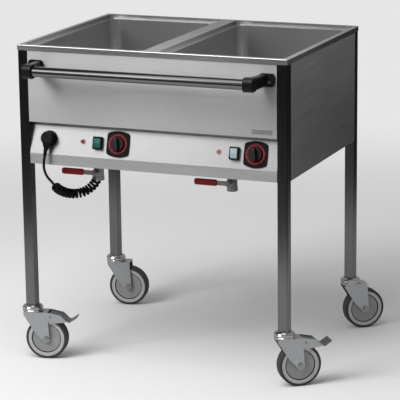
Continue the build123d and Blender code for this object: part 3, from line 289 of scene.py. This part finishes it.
def sheet_steel(name, colour, roughness, grain, streaks=0.10, painted_fade=None, drag=0.0):
    """Ground stainless sheet: long fine scratches along the grain, cloudy where it was handled.
    grain is the scratches' length along each axis in millimetres, drawn coarser than they are so that they
    show. painted_fade is (axis, place, colour before it, span): painted light and shade, where one end of
    the sheet is painted darker or paler than the other. drag is how much light spreads across the grain."""
    material, tree, shader = new_material(name)
    scratches = noise(tree, [1000 / length for length in grain], 4.0)
    clouds = noise(tree, (5.0, 5.0, 5.0), 3.0)
    ground = add_node(tree, "ShaderNodeRGB").outputs["Color"]
    ground.default_value = linear(colour)
    if painted_fade is not None:
        axis, middle_place, first_colour, span = painted_fade
        place = add_node(tree, "ShaderNodeTexCoord")
        apart = add_node(tree, "ShaderNodeSeparateXYZ", {"Vector": place.outputs["Object"]})
        part_way = add_node(tree, "ShaderNodeMapRange",
                            {"Value": apart.outputs[axis], "From Min": middle_place - span / 2,
                             "From Max": middle_place + span / 2},
                            interpolation_type="SMOOTHSTEP")
        mixed = add_node(tree, "ShaderNodeMix",
                         {0: part_way.outputs["Result"], 6: linear(first_colour), 7: ground},
                         data_type="RGBA")
        ground = mixed.outputs[2]
    tone = add_node(tree, "ShaderNodeMath",
                    {0: spread_to(tree, scratches, 1.0 - streaks, 1.0 + streaks),
                     1: spread_to(tree, clouds, 0.95, 1.05)}, operation="MULTIPLY")
    shade = add_node(tree, "ShaderNodeVectorMath", {0: ground, "Scale": tone.outputs["Value"]},
                     operation="SCALE")
    relief = add_node(tree, "ShaderNodeBump",
                      {"Height": scratches, "Strength": 0.3, "Distance": 0.010 * MM})
    along = [1.0 if length == max(grain) else 0.0 for length in grain]
    tangent = add_node(tree, "ShaderNodeCombineXYZ", {0: along[0], 1: along[1], 2: along[2]})
    tree.links.new(tangent.outputs["Vector"], shader.inputs["Tangent"])
    tree.links.new(shade.outputs["Vector"], shader.inputs["Base Color"])
    tree.links.new(spread_to(tree, scratches, roughness - 0.05, roughness + 0.05),
                   shader.inputs["Roughness"])
    tree.links.new(relief.outputs["Normal"], shader.inputs["Normal"])
    shader.inputs["Metallic"].default_value = 1.0
    shader.inputs["Anisotropic"].default_value = drag
    shader.inputs["Anisotropic Rotation"].default_value = 0.25
    return material


def finish_node(name, material):
    """Gives a CAD node its finish."""
    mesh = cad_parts[name].data
    mesh.materials.clear()
    mesh.materials.append(material)


# The top plate's front is painted paler than its back, painted light.
finish_node("top_plate", sheet_steel("top_ground_steel", "#A2A2A2", 0.30, GRAIN_X, streaks=0.05,
                                     painted_fade=("Y", -0.05, "#D8D8D8", 0.50)))


def plated(name, colour, roughness, mottle_mm=6.0, mottle=0.06):
    """Plated or polished metal: an even film over the blank, faintly mottled."""
    material, tree, shader = new_material(name)
    film = noise(tree, [1000 / mottle_mm] * 3, 4.0)
    shade = add_node(tree, "ShaderNodeVectorMath",
                     {0: linear(colour)[:3], "Scale": spread_to(tree, film, 1 - mottle, 1 + mottle)},
                     operation="SCALE")
    tree.links.new(shade.outputs["Vector"], shader.inputs["Base Color"])
    tree.links.new(spread_to(tree, film, roughness * (1 - 3 * mottle), roughness * (1 + 3 * mottle)),
                   shader.inputs["Roughness"])
    shader.inputs["Metallic"].default_value = 1.0
    return material


# Water wells: deep-drawn satin steel tubs, polished by the press round their corners.
well_steel = plated("well_satin_steel", "#C4C4C4", 0.30, mottle_mm=3.0, mottle=0.015)
for well in ("well_left", "well_right"):
    finish_node(well, well_steel)

# Cabinet panels: ground stainless sheet, folded at the edges. The grain runs across them, so they
# gather light from above and below and read pale and even.
# The front and back panels are painted a little darker on their lower part, painted shade.
front_steel = sheet_steel("front_ground_steel", "#A0A0A0", 0.46, GRAIN_X, drag=0.8, streaks=0.04,
                          painted_fade=("Z", 0.76, "#979797", 0.20))
for panel in ("front_panel", "back_panel"):
    finish_node(panel, front_steel)
# The side panels are painted paler at the top and darker lower down, painted light and shade.
side_steel = sheet_steel(
    "side_ground_steel", "#C4C4C4", 0.40, GRAIN_Y, drag=0.7, streaks=0.05,
    painted_fade=("Z", 0.70, "#868686", 0.34)
)
for panel in ("side_panel_left", "side_panel_right"):
    finish_node(panel, side_steel)
finish_node("bottom_cover", sheet_steel("cover_plain_steel", "#8A8A8B", 0.40, GRAIN_X))

# Legs: square stainless tube, ground lengthways. The grain runs up them. Their colour is a painted
# reflection: dark at the top for the dark room ahead beside the panels, paler lower down for the pale
# floor.
leg_steel = sheet_steel(
    "leg_ground_tube", "#464646", 0.34, GRAIN_Z, drag=0.6, painted_fade=("Z", 0.36, "#6E6E6E", 0.22)
)
for legs in ("front_legs", "back_legs"):
    finish_node(legs, leg_steel)

# Control panel: finely ground sheet that leans towards the lamps, so it is the brightest face. The lip
# below the slope is painted paler than the slope, painted light on one folded sheet.
finish_node("control_panel", sheet_steel("panel_fine_steel", "#939393", 0.40, GRAIN_X,
                                         streaks=0.03, drag=0.6, painted_fade=("Z", 0.571, "#A8A8A8", 0.002)))


# Push bar: polished tube in black moulded brackets, each held by one screw. The tube mirrors the soft
# lamps on its front as one bright line; its top is painted darker than the rest, a painted reflection of
# the dark room.
BAR_PAINTED_TOP_LINE = 0.8100
finish_node("push_bar", sheet_steel("bar_polished_steel", "#3A3A3A", 0.10, GRAIN_X, streaks=0.03,
                                    painted_fade=("Z", BAR_PAINTED_TOP_LINE, "#6C6C6C", 0.003)))
finish_node("bar_brackets", moulded("bracket_black_nylon", "#080808", 0.45, grain_mm=0.9,
                                    specular=0.22))
finish_node("bracket_screws", plated("screw_plated_steel", "#8F8F90", 0.35))


def radius_from(tree, centre, axis):
    """How far a place is from an axis, in metres."""
    place = add_node(tree, "ShaderNodeTexCoord")
    away = add_node(tree, "ShaderNodeVectorMath", {0: place.outputs["Object"], 1: centre},
                    operation="SUBTRACT")
    square = add_node(tree, "ShaderNodeVectorMath", {0: away.outputs["Vector"], 1: axis},
                      operation="CROSS_PRODUCT")
    return add_node(tree, "ShaderNodeVectorMath", {0: square.outputs["Vector"]},
                    operation="LENGTH").outputs["Value"]


def rings(tree, radius, colours):
    """Colours from the middle outwards: the first one, then each from its radius in millimetres."""
    ground = add_node(tree, "ShaderNodeRGB").outputs["Color"]
    ground.default_value = linear(colours[0])
    for start, colour in colours[1:]:
        past = add_node(tree, "ShaderNodeMath", {0: radius, 1: start * MM},
                        operation="GREATER_THAN")
        mixed = add_node(tree, "ShaderNodeMix",
                         {0: past.outputs["Value"], 6: ground, 7: linear(colour)},
                         data_type="RGBA")
        ground = mixed.outputs[2]
    return ground


# Pilot lamps: a glossy lens in a pale bezel, dark red for heating and amber for mains.
GROUP_PITCH = 383.2
SHIFTS = {"left": 0.0, "right": GROUP_PITCH}
LAMP_X = -197.1
LAMP_UP = 40.1
# Each lens keeps its own darker colour in the middle and is painted paler in a ring towards its edge, a
# painted glow; the pale bezel beyond is its own colour.
LENS_COLOURS = {"left": ("#1A0405", "#7C2422"), "right": ("#6E4030", "#9C6A50")}
for side, shift in SHIFTS.items():

    middle_colour, painted_glow_colour = LENS_COLOURS[side]

    def lens_glow_and_bezel(tree, colour):
        radius = radius_from(tree, on_slope(LAMP_X + shift, LAMP_UP), OUT_OF_SLOPE)
        return rings(tree, radius, [colour, (2.8, painted_glow_colour), (5.2, "#B08E88")])

    finish_node(f"pilot_lamp_{side}", moulded(f"lamp_lens_{side}", middle_colour, 0.24,
                                              coat=0.3, print_and_painted_light=lens_glow_and_bezel))

# Rocker switches: black frames with one green and one pale translucent rocker.
finish_node("switch_bodies", moulded("switch_black_plastic", "#080809", 0.38, specular=0.18))
finish_node("rocker_left", moulded("rocker_green_plastic", "#0C5048", 0.30, coat=0.15))
finish_node("rocker_right", moulded("rocker_pale_plastic", "#8DA2A8", 0.30, coat=0.2))

# Thermostat dials: a black plate with a red printed scale, and a black knob with a grip.
KNOB_X = -95.6
KNOB_UP = 39.7


def knob_radius(tree):
    """How far a place is from the nearer knob's middle line, in metres."""
    both_knobs = [
        radius_from(tree, on_slope(KNOB_X + shift, KNOB_UP), OUT_OF_SLOPE)
        for shift in SHIFTS.values()
    ]
    return add_node(tree, "ShaderNodeMath", {0: both_knobs[0], 1: both_knobs[1]},
                    operation="MINIMUM").outputs["Value"]


def red_scale(tree, colour):
    """A dull red ring between two dark red bands, round each knob."""
    return rings(tree, knob_radius(tree), [colour, (18.0, "#34090C"), (20.6, "#4A1216"), (22.4, "#76323A"),
                                (24.4, "#541A1F"), (26.6, "#3C0E12"), (28.4, colour)])


finish_node("dial_plates", moulded("dial_black_plastic", "#080808", 0.50, specular=0.10,
                                   print_and_painted_light=red_scale))


def skirt_painted_red_glow(tree, colour):
    """A knob's black grip on a skirt whose edge is painted dark red, a painted red glow."""
    return rings(tree, knob_radius(tree), [colour, (15.8, "#35080B")])


knob_plastic = moulded("knob_black_plastic", "#0A0A0A", 0.38, specular=0.2, print_and_painted_light=skirt_painted_red_glow)
mark_paint = moulded("mark_pale_paint", "#7E5456", 0.5)
for side in ("left", "right"):
    finish_node(f"knob_{side}", knob_plastic)
    finish_node(f"thermostat_shaft_{side}", plated("shaft_turned_steel", "#A0A0A0", 0.30))
    finish_node(f"heating_element_{side}", plated("element_heated_steel", "#5A534C", 0.45))
finish_node("thermostats", plated("thermostat_plated_steel", "#A3A29C", 0.35))
finish_node("terminal_block", moulded("terminal_cream_plastic", "#C9C2A8", 0.45))

# Printed marks: eleven short bars on each dial's scale and a pointer line on each knob's grip,
# pad printed in a thin dull paint.
SLOPE_TO_WORLD = Matrix.Translation(on_slope(0, 0)) @ Matrix((
    (1, 0, 0), (0, UP_SLOPE.y, OUT_OF_SLOPE.y), (0, UP_SLOPE.z, OUT_OF_SLOPE.z)
)).to_4x4()
PRINT_HEIGHT = 0.3


def mark_on_slope(name, x, up, out, turn, reach, length, width):
    """A thin bar that points away from a place on the slope, at an angle and a distance."""
    bpy.ops.mesh.primitive_cube_add(size=1.0)
    mark = bpy.context.object
    mark.name = name
    mark.data.transform(
        SLOPE_TO_WORLD
        @ Matrix.Translation(Vector((x, up, out)) * MM)
        @ Matrix.Rotation(turn, 4, "Z")
        @ Matrix.Translation(Vector((reach, 0, 0)) * MM)
        @ Matrix.Diagonal(Vector((length, width, PRINT_HEIGHT)) * MM).to_4x4()
    )
    mark.data.materials.append(mark_paint)
    return mark


SCALE_MARKS = 11
SCALE_START = math.radians(-45.0)
SCALE_SWEEP = math.radians(270.0)
SCALE_TOP = 5.0
SCALE_REACH = 24.0
SCALE_MARK = (3.0, 0.7)
GRIP_TURN = math.radians(100.0)
GRIP_TOP = 21.5
POINTER_REACH = 12.0
POINTER_MARK = (5.0, 1.0)
for side, shift in SHIFTS.items():
    marks = []
    for step in range(SCALE_MARKS):
        turn = SCALE_START + SCALE_SWEEP * step / (SCALE_MARKS - 1)
        marks.append(mark_on_slope(f"scale_marks_{side}", KNOB_X + shift, KNOB_UP, SCALE_TOP,
                                   turn, SCALE_REACH, *SCALE_MARK))
    bpy.ops.object.select_all(action="DESELECT")
    for mark in marks:
        mark.select_set(True)
    bpy.context.view_layer.objects.active = marks[0]
    bpy.ops.object.join()
    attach(marks[0], "cabinet")
    pointer = mark_on_slope(f"knob_pointer_{side}", KNOB_X + shift, KNOB_UP, GRIP_TOP,
                            GRIP_TURN, POINTER_REACH, *POINTER_MARK)
    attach(pointer, f"dial_{side}")

# Blank plate: a small plain anodised aluminium plate stuck on the front panel, low on the right.
# It reads a little darker and duller than the ground sheet behind it.
PLATE_MIDDLE = Vector((307.5, -287.0, 672.5))
PLATE_SIZE = Vector((55.0, 1.0, 13.0))
PLATE_EDGE = 0.35 * MM
plate_metal = plated("plate_anodised", "#A7A8AA", 0.42)
bpy.ops.mesh.primitive_cube_add(size=1.0)
blank_plate = bpy.context.object
blank_plate.name = "blank_plate"
blank_plate.data.transform(
    Matrix.Translation(PLATE_MIDDLE * MM) @ Matrix.Diagonal(PLATE_SIZE * MM).to_4x4()
)
bpy.ops.object.modifier_add(type="BEVEL")
rounded = blank_plate.modifiers[0]
rounded.width = PLATE_EDGE
rounded.segments = 2
bpy.ops.object.modifier_apply(modifier=rounded.name)
blank_plate.data.materials.append(plate_metal)
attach(blank_plate, "cabinet")

# Drains: stainless pipe into a nickel plated ball valve, with a steel lever in a dipped red vinyl
# sleeve. The nickel is bright and a little mottled, the sleeve a deep even red.
finish_node("drain_pipes", plated("pipe_stainless", "#9D9D9E", 0.25))
finish_node("valve_bodies", plated("valve_nickel_plate", "#A2A19E", 0.22))
stem_plate = plated("stem_plated_steel", "#8E8E8C", 0.28)
lever_plate = plated("lever_plated_steel", "#8C8C88", 0.32)
sleeve_vinyl = moulded("sleeve_red_vinyl", "#7E0809", 0.34, coat=0.1, specular=0.3)
for side in ("left", "right"):
    finish_node(f"valve_stem_{side}", stem_plate)
    finish_node(f"valve_lever_{side}", lever_plate)
    finish_node(f"lever_sleeve_{side}", sleeve_vinyl)

# Plug and its dummy socket, black moulded rubber and plastic; gland in black nylon.
finish_node("parking_socket", moulded("socket_black_plastic", "#060606", 0.40, specular=0.16))
finish_node("mains_plug", moulded("plug_black_rubber", "#050505", 0.44, specular=0.12))
finish_node("cord_gland", moulded("gland_black_nylon", "#101011", 0.42, specular=0.35))

# Casters: chromed dish that mirrors the room in hard bands, over a pressed fork and pedal whose
# zinc plate is dull and grey.
finish_node("caster_heads", plated("dish_chrome_plate", "#A8A8A8", 0.08, mottle_mm=15.0))
fork_plate = plated("fork_zinc_plate", "#A4A6A8", 0.36)
axle_plate = plated("axle_zinc_plate", "#8E8F90", 0.32)
pedal_plate = plated("pedal_zinc_plate", "#7A7C7E", 0.42)
for side in ("left", "right"):
    finish_node(f"brake_pedal_{side}", pedal_plate)

# Wheels: light grey nylon hubs with a groove inside the rim painted near black as painted shade, the hub
# paler beyond it, in darker grey rubber tyres.
LEG_MIDDLE = Vector((362.0, 272.5, 0.0))
TRAIL = 38.7
WHEEL_RADIUS = 57.0
GROOVE_START = 38.3
GROOVE_END = 40.5
TRAIL_TURNS = {
    "front_left": (-1, -1, 12.0),
    "front_right": (1, -1, 37.0),
    "back_left": (-1, 1, 11.0),
    "back_right": (1, 1, 38.0),
}
tyre_rubber = moulded("tyre_grey_rubber", "#313234", 0.66, bump=0.05, specular=0.3)
for corner, (sign_x, sign_y, turn) in TRAIL_TURNS.items():
    trail_dir = Vector((math.cos(math.radians(turn)), math.sin(math.radians(turn)), 0))
    axle_dir = Vector((trail_dir.y, -trail_dir.x, 0))
    leg_middle = Vector((sign_x * LEG_MIDDLE.x, sign_y * LEG_MIDDLE.y, WHEEL_RADIUS))
    hub_middle = (leg_middle + trail_dir * TRAIL) * MM

    def hub_painted_groove_shade(tree, colour):
        radius = radius_from(tree, hub_middle, axle_dir)
        # The groove's dark ring is painted shade.
        return rings(tree, radius, [colour, (GROOVE_START, "#1C1C1D"), (GROOVE_END, "#A2A3A4")])

    finish_node(f"caster_fork_{corner}", fork_plate)
    finish_node(f"axle_{corner}", axle_plate)
    finish_node(f"wheel_{corner}", moulded(f"hub_grey_nylon_{corner}", "#858687", 0.46,
                                           specular=0.3, print_and_painted_light=hub_painted_groove_shade))
    finish_node(f"tyre_{corner}", tyre_rubber)

# Studio: a pale floor and soft lamps. The floor keeps the shadow, the world is pale to the eye.
FLOOR_SIZE = 60.0
bpy.ops.mesh.primitive_plane_add(size=FLOOR_SIZE, location=(0, 0, 0))
floor = bpy.context.object
floor.name = "studio_floor"
floor_material, floor_tree, floor_shader = new_material("floor_pale_paper")
# A mirror sees the pale sheet end about a metre and a half out, where the dark room begins
SHEET_END = 1.55
DARK_START = 2.3
floor_place = add_node(floor_tree, "ShaderNodeTexCoord")
floor_distance = add_node(floor_tree, "ShaderNodeVectorMath",
                          {0: floor_place.outputs["Object"]}, operation="LENGTH")
beyond = add_node(floor_tree, "ShaderNodeMapRange",
                  {"Value": floor_distance.outputs["Value"], "From Min": SHEET_END,
                   "From Max": DARK_START}, interpolation_type="SMOOTHSTEP")
floor_ray = add_node(floor_tree, "ShaderNodeLightPath")
unlit = add_node(floor_tree, "ShaderNodeMath",
                 {0: beyond.outputs["Result"], 1: floor_ray.outputs["Is Glossy Ray"]},
                 operation="MULTIPLY")
floor_colour = add_node(floor_tree, "ShaderNodeMix",
                        {0: unlit.outputs["Value"], 6: linear("#DCDCDC"), 7: linear("#383838")},
                        data_type="RGBA")
floor_tree.links.new(floor_colour.outputs[2], floor_shader.inputs["Base Color"])
# To the eye the sheet fades into the pale backdrop further out, past the shadow
FADE_START = 1.2
FADE_END = 3.2
far_off = add_node(floor_tree, "ShaderNodeMapRange",
                   {"Value": floor_distance.outputs["Value"], "From Min": FADE_START,
                    "From Max": FADE_END}, interpolation_type="SMOOTHSTEP")
glow = add_node(floor_tree, "ShaderNodeMath",
                {0: far_off.outputs["Result"], 1: floor_ray.outputs["Is Camera Ray"]},
                operation="MULTIPLY")
pale_far = add_node(floor_tree, "ShaderNodeEmission", {"Color": linear("#E6E6E6")})
floor_surface = add_node(floor_tree, "ShaderNodeMixShader",
                         {0: glow.outputs["Value"], 1: floor_shader.outputs["BSDF"],
                          2: pale_far.outputs["Emission"]})
floor_output = floor_tree.nodes["Material Output"]
floor_tree.links.new(floor_surface.outputs["Shader"], floor_output.inputs["Surface"])
floor_shader.inputs["Roughness"].default_value = 0.9
floor_shader.inputs["Specular IOR Level"].default_value = 0.1
floor.data.materials.append(floor_material)

world = bpy.data.worlds.new("studio")
scene.world = world
world.use_nodes = True
sky = world.node_tree
sky.nodes.clear()
ray = add_node(sky, "ShaderNodeLightPath")
seen = add_node(sky, "ShaderNodeMath",
                {0: ray.outputs["Is Camera Ray"], 1: ray.outputs["Is Transmission Ray"]},
                operation="MAXIMUM")
pale = add_node(sky, "ShaderNodeBackground", {"Color": linear("#F0F0F0"), "Strength": 1.0})
room = add_node(sky, "ShaderNodeBackground", {"Color": linear("#FFFFFF"), "Strength": 0.45})
both = add_node(sky, "ShaderNodeMixShader", {"Fac": seen.outputs["Value"]})
sky.links.new(room.outputs["Background"], both.inputs[1])
sky.links.new(pale.outputs["Background"], both.inputs[2])
add_node(sky, "ShaderNodeOutputWorld", {"Surface": both.outputs["Shader"]})


def soft_lamp(name, place, target, size, power):
    """A square softbox that faces a point."""
    data = bpy.data.lights.new(name, "AREA")
    data.shape = "SQUARE"
    data.size = size
    data.energy = power
    lamp = bpy.data.objects.new(name, data)
    scene.collection.objects.link(lamp)
    lamp.location = place
    lamp.rotation_euler = (Vector(target) - Vector(place)).to_track_quat("-Z", "Y").to_euler()


soft_lamp("key_lamp", (-2.2, -3.2, 3.2), (0, 0, 0.6), 2.0, 130.0)
soft_lamp("top_lamp", (-0.3, -1.4, 3.2), (0, 0, 0.6), 1.8, 60.0)
